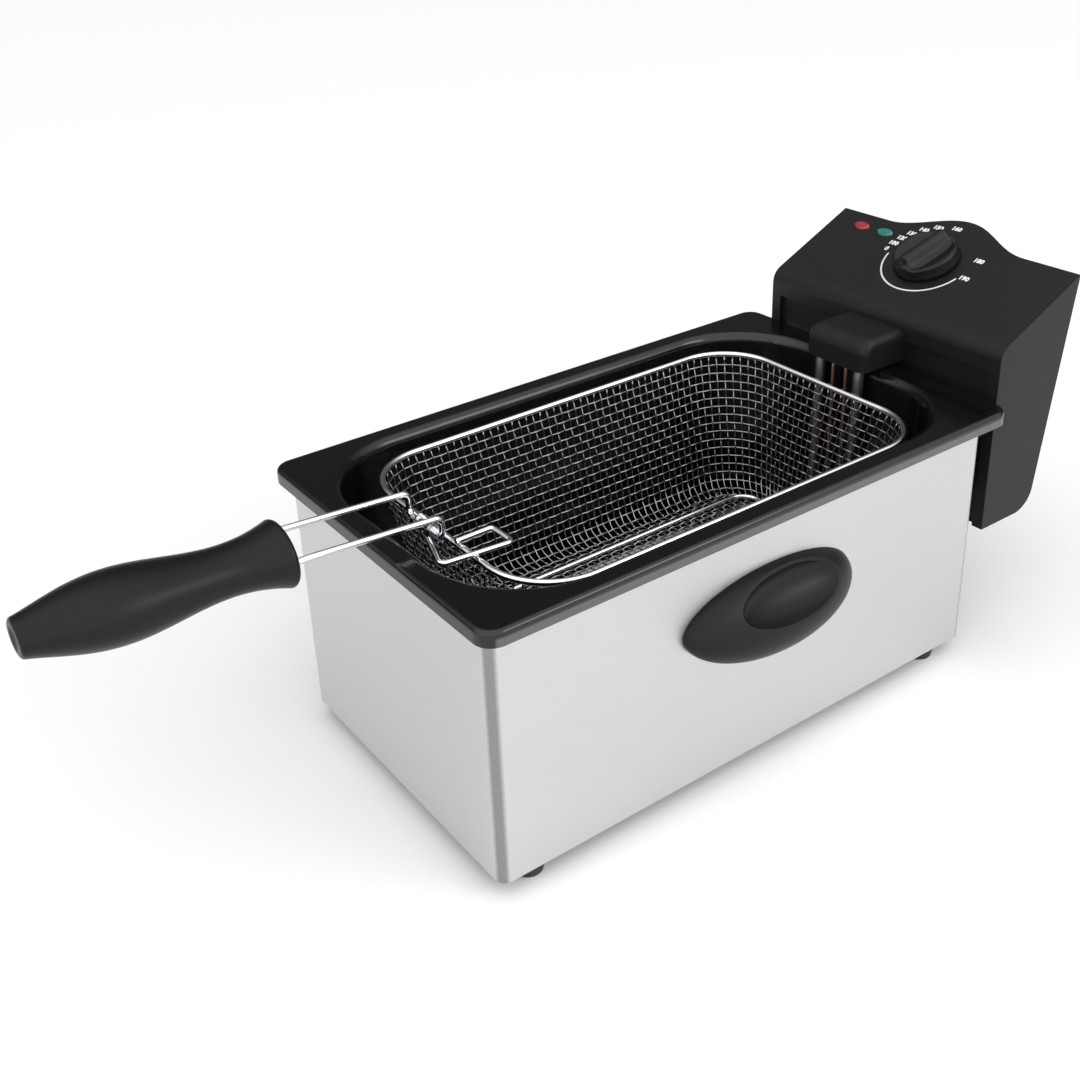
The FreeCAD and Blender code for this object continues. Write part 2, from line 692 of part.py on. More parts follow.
def terminal_block():
    """A three-way terminal block on the front wall inside the head."""
    block = Part.makeBox(12.0, 34.0, 16.0)
    block.translate(V(HEAD_FRONT + FRONT_T, -62.0, 112.0))
    for i in range(3):
        at = V(HEAD_FRONT + FRONT_T + 14.0, -54.0 + 9.5 * i, 120.0)
        block = block.cut(Part.makeCylinder(2.6, 8.0, at - ALONG * 8, ALONG))
    return block


def cord_gland():
    """The cord gland: a flanged bush in the bottom of the head, its bore for the mains lead."""
    bush = Part.makeCylinder(7.9, SHELL_T + 4.0, V(GLAND_X, GLAND_Y, HEAD_Z0 - 2.0), UP)
    flange = Part.makeCylinder(10.0, 2.0, V(GLAND_X, GLAND_Y, HEAD_Z0 - 2.0), UP)
    nut = Part.makeCylinder(10.0, 2.4, V(GLAND_X, GLAND_Y, HEAD_Z0 + SHELL_T), UP)
    nose = Part.makeCone(5.6, 7.0, 7.0, V(GLAND_X, GLAND_Y, HEAD_Z0 - 9.0), UP)
    gland = bush.multiFuse([flange, nut, nose])
    bore = Part.makeCylinder(GLAND_BORE_R, 30.0, V(GLAND_X, GLAND_Y, HEAD_Z0 - 15.0), UP)
    return gland.cut(bore)


def bridge_block():
    """The hood as a solid block with rounded upper edges."""
    end = HEAD_FRONT + RECESS_IN
    length = end - BRIDGE_X0
    block = Part.makeBox(length, 2 * BRIDGE_HALF_W, BRIDGE_Z1 - BRIDGE_Z0)
    block.translate(V(BRIDGE_X0, BRIDGE_Y - BRIDGE_HALF_W, BRIDGE_Z0))
    nose = [e for e in block.Edges
            if e.BoundBox.XMax < BRIDGE_X0 + 0.1 and e.BoundBox.ZMin > BRIDGE_Z1 - 0.1]
    block = block.makeFillet(9.0, nose)
    sides = [e for e in block.Edges
             if e.BoundBox.ZMin > BRIDGE_Z1 - 0.1 and e.BoundBox.YMax - e.BoundBox.YMin < 0.1]
    return block.makeFillet(5.0, sides)


def element_bridge():
    """The hood that carries the element legs from the head over the tank's rim."""
    length = HEAD_FRONT + RECESS_IN - BRIDGE_X0
    hollow = Part.makeBox(length - 2.5, 2 * BRIDGE_HALF_W - 5, BRIDGE_Z1 - BRIDGE_Z0 - 8)
    hollow.translate(V(BRIDGE_X0 + 2.5, BRIDGE_Y - BRIDGE_HALF_W + 2.5, BRIDGE_Z0))
    return bridge_block().cut(hollow)


def element_plate():
    """The steel plate that closes the hood from below and holds the legs."""
    plate = Part.makeBox(HEAD_FRONT + RECESS_IN - BRIDGE_X0 - 3.2, 2 * BRIDGE_HALF_W - 6, 1.5)
    plate.translate(V(BRIDGE_X0 + 2.8, BRIDGE_Y - BRIDGE_HALF_W + 3, BRIDGE_Z0 + 0.3))
    for y in (-LEG_Y, LEG_Y):
        plate = plate.cut(Part.makeCylinder(TUBE_R, 6.0, V(LEG_X + LEG_LEAN, BRIDGE_Y + y, BRIDGE_Z0 - 2), UP))
    for y in SENSOR_Y:
        plate = plate.cut(Part.makeCylinder(SENSOR_TUBE_R, 6.0, V(LEG_X + LEG_LEAN, BRIDGE_Y + y, BRIDGE_Z0 - 2), UP))
    return plate


SENSOR_Y = (-5.0, 5.0)
SENSOR_TUBE_R = 1.2
SENSOR_R = 3.0


def heating_element():
    """The bent tubular element: two legs down from the bridge and three hairpins."""
    x_leg = LEG_X + LEG_LEAN
    z_top = BRIDGE_Z0 + 5.0
    points = [
        V(x_leg, BRIDGE_Y + LEG_Y, z_top),
        V(x_leg - LEG_LEAN, BRIDGE_Y + LEG_Y, ELEMENT_Z),
        V(128.0, RUN_OUT, ELEMENT_Z),
        V(-RUN_FAR, RUN_OUT, ELEMENT_Z),
        V(-RUN_FAR, RUN_IN, ELEMENT_Z),
        V(104.0, RUN_IN, ELEMENT_Z),
        V(104.0, -RUN_IN, ELEMENT_Z),
        V(-RUN_FAR, -RUN_IN, ELEMENT_Z),
        V(-RUN_FAR, -RUN_OUT, ELEMENT_Z),
        V(128.0, -RUN_OUT, ELEMENT_Z),
        V(x_leg - LEG_LEAN, BRIDGE_Y - LEG_Y, ELEMENT_Z),
        V(x_leg, BRIDGE_Y - LEG_Y, z_top),
    ]
    return rod(rounded_path(points, 12.0), TUBE_R)


def element_support():
    """Two bent straps under the element runs that stand just off the tank floor."""
    straps = []
    for x in (-70.0, 40.0):
        top = Part.makeBox(12.0, 2 * RUN_OUT + 10, 1.2)
        top.translate(V(x, -RUN_OUT - 5, ELEMENT_Z - TUBE_R - 1.2))
        for side in (-1, 1):
            leg = Part.makeBox(12.0, 1.2, ELEMENT_Z - TUBE_R - TANK_FLOOR - 0.8)
            y = side * (RUN_OUT + 5) - (1.2 if side > 0 else 0.0)
            leg.translate(V(x, y, TANK_FLOOR + 0.8))
            top = top.fuse(leg)
        straps.append(top.removeSplitter())
    return group(straps)


def sensor(y_run, y_top):
    """A liquid-filled bulb beside the element and its capillary up into the bridge."""
    bulb_x = -10.0
    bulb = Part.makeCylinder(SENSOR_R, 78.0, V(bulb_x - 78.0, y_run, ELEMENT_Z), ALONG)
    x_leg = LEG_X + LEG_LEAN
    z_high = ELEMENT_Z + TUBE_R + SENSOR_TUBE_R + 1.5
    points = [
        V(bulb_x - 1.0, y_run, ELEMENT_Z),
        V(bulb_x + 16.0, y_run, ELEMENT_Z),
        V(bulb_x + 32.0, y_run, z_high),
        V(x_leg - 12.0, BRIDGE_Y + y_top, z_high),
        V(x_leg, BRIDGE_Y + y_top, z_high + 14.0),
        V(x_leg, BRIDGE_Y + y_top, BRIDGE_Z0 + 5.0),
    ]
    return bulb.fuse(rod(rounded_path(points, 6.0), SENSOR_TUBE_R))


# ---- basket -------------------------------------------------------------------------

def basket_mesh():
    """The woven basket as a thin tub, open at the top."""
    outer_top = (BASKET_L / 2, BASKET_W / 2, BASKET_R)
    outer_low = (BASKET_FLOOR_L / 2, BASKET_FLOOR_W / 2, BASKET_FLOOR_R)
    inner_top = tuple(v - MESH_T for v in outer_top)
    inner_low = tuple(v - MESH_T for v in outer_low)
    z_top = BASKET_TOP - RIM_WIRE_R
    outside = tub(outer_top, outer_low, z_top, BASKET_FLOOR - MESH_T, 10.0, BASKET_X)
    inside = tub(inner_top, inner_low, z_top, BASKET_FLOOR, 10.0 - MESH_T, BASKET_X)
    return outside.cut(inside)


def basket_rim():
    """The stout rim wire that the mesh is wrapped round."""
    return ring(BASKET_L / 2 - 0.8, BASKET_W / 2 - 0.8, BASKET_R - 0.8, BASKET_TOP,
                RIM_WIRE_R, BASKET_X)


def basket_floor_frame():
    """A wire frame that stiffens the basket floor, lying on the mesh."""
    z = BASKET_FLOOR + FRAME_WIRE_R
    return ring(FRAME_HALF_L, FRAME_HALF_W, 12.0, z, FRAME_WIRE_R, BASKET_X)


def basket_feet():
    """Four small wire feet under the basket that stand on the outer element runs."""
    feet = []
    top = BASKET_FLOOR - MESH_T
    low = ELEMENT_Z + TUBE_R + 0.5 + FRAME_WIRE_R
    for side_x in (-1, 1):
        for side_y in (-1, 1):
            x = BASKET_X + side_x * 90.0
            y = side_y * (RUN_OUT - 2.5)
            points = [
                V(x - 9.0, y, top),
                V(x - 9.0, y, low),
                V(x + 9.0, y, low),
                V(x + 9.0, y, top),
            ]
            feet.append(rod(rounded_path(points, 3.0), FRAME_WIRE_R))
    return group(feet)


def basket_bracket():
    """The bent wire on the front rim: a loop inside the basket and a hook outside it, which
    hangs on the tank's lip while the food drains."""
    x = BASKET_X - BASKET_L / 2
    z = BASKET_TOP + RIM_WIRE_R + FRAME_WIRE_R
    points = [
        V(x - 1.0, -19.5, z),
        V(x + 20.0, -19.5, z),
        V(x + 20.0, -37.0, z),
        V(x - 18.0, -33.0, z),
        V(x - 10.2, -9.4, z),
    ]
    return rod(rounded_path(points, 2.6), FRAME_WIRE_R)


def pivot_lugs():
    """Two small eyes on the front rim that hold the handle's turned-in ends."""
    lugs = []
    for side in (-1, 1):
        y = side * (WIRE_Y - 8.0)
        centre = V(PIVOT_X, y - 1.5, PIVOT_Z)
        eye = Part.makeCylinder(3.6, 3.0, centre, ACROSS)
        post = Part.makeBox(5.0, 3.0, PIVOT_Z - BASKET_TOP)
        post.translate(V(PIVOT_X + 0.6, y - 1.5, BASKET_TOP))
        bore = Part.makeCylinder(WIRE_R + 0.08, 6.0, centre - ACROSS * 1.5, ACROSS)
        lugs.append(eye.fuse(post).cut(bore).cut(basket_rim()))
    return group(lugs)


# ---- basket handle ------------------------------------------------------------------

def handle_wires():
    """Two chrome wires, drawn together in the grip, bent down and in to the pivot eyes."""
    wires = []
    for side in (-1, 1):
        points = [
            V(GRIP_X1 - WIRE_IN, side * WIRE_IN_Y, GRIP_Z),
            V(GRIP_X1 - 4.0, side * WIRE_Y, GRIP_Z),
            V(GRIP_X1 + 6.0, side * WIRE_Y, GRIP_Z),
            V(PIVOT_X, side * WIRE_Y, BEND_Z),
            V(PIVOT_X, side * WIRE_Y, PIVOT_Z),
            V(PIVOT_X, side * (WIRE_Y - 10.5), PIVOT_Z),
        ]
        wires.append(rod(rounded_path(points, 3.6), WIRE_R))
    return group(wires)


def grip_section(share, half_width):
    """An oval across the grip, at a share of its length from the blunt tip."""
    centre = V(
        GRIP_X0 + share * (GRIP_X1 - GRIP_X0),
        0,
        GRIP_TIP_Z + share * (GRIP_COLLAR_Z - GRIP_TIP_Z),
    )
    wide = centre + V(0, half_width, 0)
    high = centre + V(0, 0, GRIP_FLATNESS * half_width)
    return Part.Wire(Part.Ellipse(wide, high, centre).toShape())


def handle_grip():
    """The moulded grip: blunt dished tip, full palm swell, slim neck and flared collar."""
    stations = ((0.0, 10.2), (0.14, 15.1), (0.37, 19.3), (0.71, 14.0), (0.88, 15.2), (1.0, 19.8))
    grip = Part.makeLoft([grip_section(*station) for station in stations], True, False)
    ends = [edge for edge in grip.Edges if edge.BoundBox.XLength < 0.1]
    grip = grip.makeFillet(GRIP_EDGE_R, ends)
    dish_centre = V(GRIP_X0 - GRIP_DISH_R + GRIP_DISH, 0, GRIP_TIP_Z)
    grip = grip.cut(Part.makeSphere(GRIP_DISH_R, dish_centre))
    return grip.cut(handle_wires())


# ---- export -------------------------------------------------------------------------

def build():
    """Every node of the fryer by name."""
    drilled = outer_housing().cut(handle_screw_holes()).cut(guide_drills())
    nodes = {
        "outer_housing": drilled,
        "housing_base": housing_base(),
        "foot_screws": foot_screws(),
        "side_handle_right": side_handle(-1),
        "side_handle_left": side_handle(1),
        "side_handle_screws": side_handle_screws(),
        "head_guide": head_guide(),
        "guide_rivets": guide_rivets(),
        "oil_tank": oil_tank(),
        "control_housing": finished_control_housing(),
        "control_rear_cover": control_rear_cover(),
        "cover_screws": cover_screws(),
        "head_hooks": head_hooks(),
        "red_lamp_lens": lamp_lens(RED_Y),
        "green_lamp_lens": lamp_lens(GREEN_Y),
        "lamp_bodies": lamp_bodies(),
        "thermostat_body": thermostat_body(),
        "thermostat_shaft": thermostat_shaft(),
        "temperature_knob": temperature_knob(),
        "safety_cutout": safety_cutout(),
        "reset_button": reset_button(),
        "terminal_block": terminal_block(),
        "cord_gland": cord_gland(),
        "element_bridge": element_bridge(),
        "element_plate": element_plate(),
        "heating_element": heating_element(),
        "element_support": element_support(),
        "thermostat_sensor": sensor(0.0, SENSOR_Y[1]),
        "cutout_sensor": sensor(-(RUN_OUT + RUN_IN) / 2, SENSOR_Y[0]),
        "basket_mesh": basket_mesh(),
        "basket_rim": basket_rim(),
        "basket_floor_frame": basket_floor_frame(),
        "basket_feet": basket_feet(),
        "basket_bracket": basket_bracket(),
        "basket_pivot_lugs": pivot_lugs(),
        "handle_wires": handle_wires(),
        "handle_grip": handle_grip(),
    }
    for name, (x, y) in foot_places().items():
        nodes[name] = foot(x, y)
    return nodes


os.makedirs("parts", exist_ok=True)
for name, shape in build().items():
    shape.translate(V(CENTRE_SHIFT, 0, 0))
    shape.exportStep("parts/" + name + ".step")
    print(name, len(shape.Solids), "valid" if shape.isValid() else "INVALID", round(shape.Volume))
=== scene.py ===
import json
import math

import bpy
import numpy as np
from mathutils import Matrix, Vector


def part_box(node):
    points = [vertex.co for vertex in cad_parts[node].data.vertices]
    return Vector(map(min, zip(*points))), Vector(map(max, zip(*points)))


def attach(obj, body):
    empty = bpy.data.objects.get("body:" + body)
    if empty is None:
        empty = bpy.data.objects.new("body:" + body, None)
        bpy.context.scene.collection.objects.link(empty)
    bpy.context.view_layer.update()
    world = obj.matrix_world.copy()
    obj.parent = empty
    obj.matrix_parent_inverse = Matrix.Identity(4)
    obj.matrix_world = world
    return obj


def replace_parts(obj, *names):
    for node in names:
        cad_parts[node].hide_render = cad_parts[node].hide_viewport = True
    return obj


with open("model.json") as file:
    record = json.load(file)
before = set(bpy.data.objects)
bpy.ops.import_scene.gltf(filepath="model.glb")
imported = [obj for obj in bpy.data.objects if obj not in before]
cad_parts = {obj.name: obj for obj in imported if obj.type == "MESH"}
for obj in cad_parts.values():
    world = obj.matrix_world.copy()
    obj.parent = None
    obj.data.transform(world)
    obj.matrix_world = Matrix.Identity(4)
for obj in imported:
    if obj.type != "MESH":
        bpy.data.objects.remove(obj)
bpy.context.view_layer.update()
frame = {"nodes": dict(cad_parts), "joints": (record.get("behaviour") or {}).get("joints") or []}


# ---- The stainless housing -----------------------------------------------------------
# One sheet of brushed stainless steel, 0.8 mm thick, bent round four corners into a tall
# open box. The brushing runs level round the box. It stands on a black painted pan.

class Signal:
    """A shader socket that takes part in sums: each operator adds one Math node."""

    def __init__(self, nodes, socket):
        self.nodes = nodes
        self.socket = socket

    def math(self, operation, first, second=0.0):
        return self.nodes.node("ShaderNodeMath", {"operation": operation}, {0: first, 1: second})

    def __abs__(self):
        return self.math("ABSOLUTE", self)

    def __add__(self, other):
        return self.math("ADD", self, other)

    def __radd__(self, other):
        return self.math("ADD", other, self)

    def __sub__(self, other):
        return self.math("SUBTRACT", self, other)

    def __rsub__(self, other):
        return self.math("SUBTRACT", other, self)

    def __mul__(self, other):
        return self.math("MULTIPLY", self, other)

    def __rmul__(self, other):
        return self.math("MULTIPLY", other, self)


class Nodes:
    """A tree of shader nodes, and the one method that adds to it."""

    def __init__(self, tree):
        self.tree = tree

    def plug(self, socket, value):
        """Gives a socket its value or its link."""
        if isinstance(value, Signal):
            self.tree.links.new(value.socket, socket)
        else:
            socket.default_value = value

    def node(self, kind, settings, inputs, output=0):
        """Adds a node, sets its settings, then its sockets, and returns one output."""
        made = self.tree.nodes.new(kind)
        for key, value in settings.items():
            setattr(made, key, value)
        for key, value in inputs.items():
            self.plug(made.inputs[key], value)
        return Signal(self, made.outputs[output])


class Finish(Nodes):
    """One material: a Principled shader and what feeds it."""

    def __init__(self, name, **constants):
        self.material = bpy.data.materials.new(name)
        self.material.use_nodes = True
        super().__init__(self.material.node_tree)
        self.shader = self.tree.nodes["Principled BSDF"]
        self.feed(**constants)

    def feed(self, **values):
        """Gives the shader's named sockets their constants or their signals."""
        for socket, value in values.items():
            self.plug(self.shader.inputs[socket.replace("_", " ")], value)

    def place(self, stretch=(1.0, 1.0, 1.0)):
        """The surface point in metres, stretched along each axis."""
        point = self.node("ShaderNodeTexCoord", {}, {}, "Object")
        return self.node("ShaderNodeMapping", {}, {"Vector": point, "Scale": stretch})

    def along(self, axis):
        """How far along one axis the surface point lies, in metres."""
        return self.node("ShaderNodeSeparateXYZ", {}, {"Vector": self.place()}, axis)

    def ramp(self, value, start, end):
        """Goes in a straight line from 0 to 1 as a value goes from start to end."""
        return self.node("ShaderNodeMapRange", {}, {"Value": value, "From Min": start, "From Max": end})

    def grain(self, per_metre, stretch=(1.0, 1.0, 1.0), detail=2.0, roughness=0.5):
        """Noise between about 0 and 1 at so many spots a metre."""
        sockets = {"Vector": self.place(stretch), "Scale": per_metre, "Detail": detail}
        return self.node("ShaderNodeTexNoise", {}, {**sockets, "Roughness": roughness})

    def blend(self, share, low, high, how="MIX"):
        """A colour between two colours, or with MULTIPLY the first darkened by the second."""
        sockets = {0: share, 6: low if isinstance(low, Signal) else (*low, 1.0), 7: (*high, 1.0)}
        return self.node("ShaderNodeMix", {"data_type": "RGBA", "blend_type": how}, sockets, 2)

    def relief(self, height, depth, strength=1.0):
        """Feeds a small surface relief, with its depth in metres, to the shader."""
        sockets = {"Height": height, "Distance": depth, "Strength": strength}
        self.feed(Normal=self.node("ShaderNodeBump", {}, sockets))


def dress(material, *nodes):
    """Gives CAD nodes a material."""
    for node in nodes:
        for slot in frame["nodes"][node].material_slots:
            slot.material = material


STAINLESS = np.array([0.62, 0.62, 0.625])
LEVEL_BRUSHING = (1.0, 1.0, 60.0)
BEND_R = 0.006
PAINTED_SHADE_FROM, PAINTED_SHADE_FULL = 0.12, 0.42
BEND_PAINTED_SHADE = (0.45, 0.45, 0.45)


def housing_steel():
    """Brushed stainless wall: level scratches, soft cloudy bands, and painted shade down each rounded
    corner.

    The painted shade stands in for the dark reflection down the middle of each rounded corner. Its
    strength is the product of how far a point lies into a corner along each side, which
    is greatest in the middle of the quarter round.
    """
    finish = Finish("brushed_stainless", Metallic=1.0)
    scratches = finish.grain(per_metre=34.0, stretch=LEVEL_BRUSHING, detail=7.0, roughness=0.7)
    clouds = finish.grain(per_metre=9.0, stretch=(1.0, 1.0, 2.0))
    low, high = np.array(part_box("outer_housing"))
    middle, half = 0.5 * (low + high), 0.5 * (high - low)
    into_x, into_y = (
        finish.ramp(abs(finish.along(axis) - float(middle[axis])), half[axis] - BEND_R, half[axis])
        for axis in (0, 1)
    )
    # Painted shade: the base colour is darkened down the middle of each rounded corner, standing in for
    # the dark reflection there. The same mask lowers the roughness.
    painted_bend_shade = finish.ramp(into_x * into_y, PAINTED_SHADE_FROM, PAINTED_SHADE_FULL)
    tone = finish.blend(0.75 * scratches + 0.25 * clouds, 0.90 * STAINLESS, 1.04 * STAINLESS)
    finish.feed(Base_Color=finish.blend(painted_bend_shade, tone, BEND_PAINTED_SHADE, "MULTIPLY"))
    finish.feed(Roughness=0.30 + 0.12 * scratches + 0.06 * clouds - 0.12 * painted_bend_shade)
    finish.relief(scratches, depth=0.00006, strength=0.6)
    return finish.material


dress(housing_steel(), "outer_housing")

pan_paint = Finish("black_pan_paint", Base_Color=(0.02, 0.02, 0.02, 1.0), Roughness=0.5)
pan_paint.relief(pan_paint.grain(per_metre=900.0), depth=0.0001)
dress(pan_paint.material, "housing_base")


# ---- Feet and screws -----------------------------------------------------------------
# Four black rubber feet, each held by a zinc-plated screw up into the pan. Zinc-plated
# screws hold the side handles too, and aluminium rivets hold the head's guide.

def worked_metal(name, colour, roughness):
    """Plain metal: fine scratches in its tone, its gloss and its surface."""
    finish = Finish(name, Metallic=1.0)
    scratches = finish.grain(per_metre=30.0, detail=6.0, roughness=0.65)
    finish.feed(Base_Color=finish.blend(scratches, 0.94 * np.array(colour), colour))
    finish.feed(Roughness=roughness - 0.05 + 0.10 * scratches)
    finish.relief(scratches, depth=0.00004, strength=0.5)
    return finish.material


rubber = Finish("foot_rubber", Base_Color=(0.018, 0.018, 0.018, 1.0))
rubber_dust = rubber.grain(per_metre=500.0)
rubber.feed(Roughness=0.65 + 0.15 * rubber_dust)
rubber.relief(rubber_dust, depth=0.00008)
dress(rubber.material, "foot_front_right", "foot_front_left", "foot_rear_right", "foot_rear_left")

zinc = worked_metal("zinc_plated_steel", (0.62, 0.63, 0.65), 0.35)
dress(zinc, "foot_screws", "side_handle_screws", "cover_screws", "head_hooks", "element_plate")

rivet_metal = worked_metal("rivet_aluminium", (0.75, 0.75, 0.76), 0.4)
dress(rivet_metal, "guide_rivets")


# ---- Oil tank ------------------------------------------------------------------------
# A pressed steel tank in glossy black enamel. Its flat rim covers the housing's top edge
# and turns down outside it in a thin skirt with a grey band of painted highlight, standing in
# for the room it reflects, and its mouth is rolled into the bucket.

ENAMEL_BLACK = (0.003, 0.003, 0.0035)
SKIRT_PAINTED_HIGHLIGHT = (0.085, 0.085, 0.088)
SKIRT_BELOW_RIM, SKIRT_FADE = 0.0030, 0.0012
SKIRT_IN, SKIRT_OUT = 0.0012, 0.0006

tank_side, tank_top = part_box("oil_tank")[1][1:]
enamel = Finish("black_enamel")
enamel_waves = enamel.grain(per_metre=60.0, detail=1.0)
skirt_top = tank_top - SKIRT_BELOW_RIM
skirt_height = enamel.ramp(enamel.along(2), skirt_top, skirt_top - SKIRT_FADE)
skirt_side = enamel.ramp(abs(enamel.along(1)), tank_side - SKIRT_IN, tank_side - SKIRT_OUT)
skirt = skirt_height * skirt_side
# Painted highlight: the outer skirt just below the rim is painted grey, standing in for its reflection of
# the room.
enamel.feed(Base_Color=enamel.blend(skirt, ENAMEL_BLACK, SKIRT_PAINTED_HIGHLIGHT))
enamel.feed(Roughness=0.12 + 0.08 * enamel_waves + 0.16 * skirt)
enamel.relief(enamel_waves, depth=0.00025, strength=0.4)
dress(enamel.material, "oil_tank")


# ---- Control head --------------------------------------------------------------------
# Two black mouldings in finely grained heat-proof plastic: a front shell with the sloped
# panel, and a rear cover with six screws. The hood over the rim, the guide on the housing
# and the cord's gland are the same plastic.

def grained_plastic(name, colour, roughness, specular=0.5):
    """Moulded plastic with a fine even grain."""
    finish = Finish(name, Specular_IOR_Level=specular)
    spots = finish.grain(per_metre=1400.0, detail=3.0)
    finish.feed(Base_Color=finish.blend(spots, 0.85 * np.array(colour), 1.15 * np.array(colour)))
    finish.feed(Roughness=roughness - 0.04 + 0.08 * spots)
    finish.relief(spots, depth=0.00006, strength=0.6)
    return finish.material


head_plastic = grained_plastic("head_black_plastic", (0.009, 0.009, 0.0095), 0.42, 0.22)
dress(head_plastic, "control_housing", "control_rear_cover", "element_bridge", "cord_gland", "head_guide")


# ---- Behind the panel ----------------------------------------------------------------
# The thermostat and its brass spindle, the safety cut-out with its red button, the lamps'
# holders and the terminal block, in pale phenolic plastic and plated steel.

pale_plastic = grained_plastic("pale_phenolic", (0.75, 0.73, 0.68), 0.5)
dress(pale_plastic, "lamp_bodies", "safety_cutout", "terminal_block")
dress(zinc, "thermostat_body")
dress(worked_metal("spindle_brass", (0.75, 0.58, 0.28), 0.3), "thermostat_shaft")
dress(grained_plastic("reset_red_plastic", (0.45, 0.03, 0.02), 0.35), "reset_button")


# ---- Lamps ---------------------------------------------------------------------------
# Two oval lenses of clear coloured plastic, one red for mains and one green for heat,
# pressed through the panel from behind.

def lens_plastic(name, deep, bright):
    """Coloured lens plastic: smooth, with brighter streams in it and a thin clear gloss."""
    finish = Finish(name, Roughness=0.12, Coat_Weight=0.6, Coat_Roughness=0.05)
    swirl = finish.grain(per_metre=260.0, detail=1.0)
    finish.feed(Base_Color=finish.blend(swirl, deep, bright))
    return finish.material


dress(lens_plastic("red_lens_plastic", (0.16, 0.003, 0.006), (0.42, 0.018, 0.03)), "red_lamp_lens")
dress(lens_plastic("green_lens_plastic", (0.001, 0.06, 0.05), (0.012, 0.24, 0.19)), "green_lamp_lens")


# ---- Dial print ----------------------------------------------------------------------
# The scale is printed in white ink on the panel: an arc round the near side of the knob,
# and temperatures round the far side.

def fix_piece(name, mesh, material, body):
    """Makes a mesh a piece in one material, and fixes it to its body."""
    mesh.materials.clear()
    mesh.materials.append(material)
    piece = bpy.data.objects.new(name, mesh)
    bpy.context.collection.objects.link(piece)
    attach(piece, body)
    return piece


def add_piece(name, vertices, faces, body, material):
    """Makes a smooth-shaded mesh piece from arrays."""
    mesh = bpy.data.meshes.new(name)
    mesh.from_pydata(vertices.reshape(-1, 3), [], faces)
    mesh.polygons.foreach_set("use_smooth", np.ones(len(mesh.polygons), dtype=bool))
    return fix_piece(name, mesh, material, body)


def ring_faces(rows, columns, closed_rows=False):
    """Quads between neighbouring rows and columns of a grid whose columns close round."""
    row = np.arange(rows if closed_rows else rows - 1)[:, None]
    column = np.arange(columns)[None, :]
    below = (row + 1) % rows
    beside = (column + 1) % columns
    corners = [(row, column), (row, beside), (below, beside), (below, column)]
    return np.stack([r * columns + c for r, c in corners], axis=-1).reshape(-1, 4)


turn_joint = next(joint for joint in frame["joints"] if joint["name"] == "temperature_turn")
DIAL_CENTRE = np.array(turn_joint["pos_m"])
DIAL_OUT = -np.array(turn_joint["axis"])
DIAL_LEFT = np.array([0.0, 1.0, 0.0])
DIAL_BACK = np.cross(DIAL_LEFT, DIAL_OUT)
PRINT_RISE = 0.00008
ARC_RADIUS = 0.0277
ARC_HALF_WIDTH = 0.00055
ARC_FIRST, ARC_LAST = math.radians(-76.0), math.radians(84.0)
ARC_STEPS = 97


def on_dial(radius, angle, rise):
    """A point at a radius and at an angle from the front edge towards the left, lifted."""
    across = np.cos(angle)[..., None] * -DIAL_BACK + np.sin(angle)[..., None] * DIAL_LEFT
    return DIAL_CENTRE + radius[..., None] * across + rise[..., None] * DIAL_OUT


print_ink = Finish("white_print_ink", Roughness=0.45)
ink_wear = print_ink.grain(per_metre=2500.0)
print_ink.feed(Base_Color=print_ink.blend(ink_wear, (0.62, 0.62, 0.61), (0.92, 0.92, 0.91)))

arc_angle = np.linspace(ARC_FIRST, ARC_LAST, ARC_STEPS)[:, None]
arc_radius = ARC_RADIUS + ARC_HALF_WIDTH * np.array([[-1.0, 1.0, 1.0, -1.0]])
arc_rise = PRINT_RISE * np.array([[0.0, 0.0, 1.0, 1.0]])
arc_grid = on_dial(arc_radius, arc_angle, arc_rise)
arc_section = np.arange(4)
arc_ends = [arc_section[::-1].tolist(), (4 * (ARC_STEPS - 1) + arc_section).tolist()]
arc_faces = ring_faces(ARC_STEPS, 4).tolist() + arc_ends
add_piece("dial_arc", arc_grid, arc_faces, "control_head", print_ink.material)

NUMBER_RADIUS = 0.0316
NUMBER_HEIGHT = 0.0032
NUMBER_FATNESS = 0.00022
FONT_HEIGHT_SHARE = 0.7
NUMBER_DEGREES = {
    "0": 90.0, "100": 101.0, "120": 112.0, "130": 124.0, "140": 138.0,
    "150": 154.0, "160": 176.0, "180": 249.0, "190": 279.0,
}


def printed_number(text, angle):
    """A number lying on the panel, read from in front, centred at its place on the scale."""
    name = f"dial_number_{text}"
    letters = bpy.data.curves.new(name, "FONT")
    letters.body = text
    letters.size = NUMBER_HEIGHT / FONT_HEIGHT_SHARE
    letters.align_x = "CENTER"
    letters.align_y = "CENTER"
    letters.extrude = 0.5 * PRINT_RISE
    letters.offset = NUMBER_FATNESS
    letters.resolution_u = 3
    shaped = bpy.data.objects.new(name, letters)
    flat = bpy.data.meshes.new_from_object(shaped)
    bpy.data.objects.remove(shaped)
    corners = np.empty(len(flat.vertices) * 3)
    flat.vertices.foreach_get("co", corners)
    middle = on_dial(np.array(NUMBER_RADIUS), np.array(angle), np.array(0.5 * PRINT_RISE))
    corners = middle + corners.reshape(-1, 3) @ np.stack([-DIAL_LEFT, DIAL_BACK, DIAL_OUT])
    flat.vertices.foreach_set("co", corners.ravel())
    fix_piece(name, flat, print_ink.material, "control_head")


for number, degrees in NUMBER_DEGREES.items():
    printed_number(number, math.radians(degrees))


# ---- Knob ----------------------------------------------------------------------------
# A black plastic moulding pressed on the thermostat's spindle: a slightly flared disc with
# a finger bar across its top and a hollow on each side of the bar.

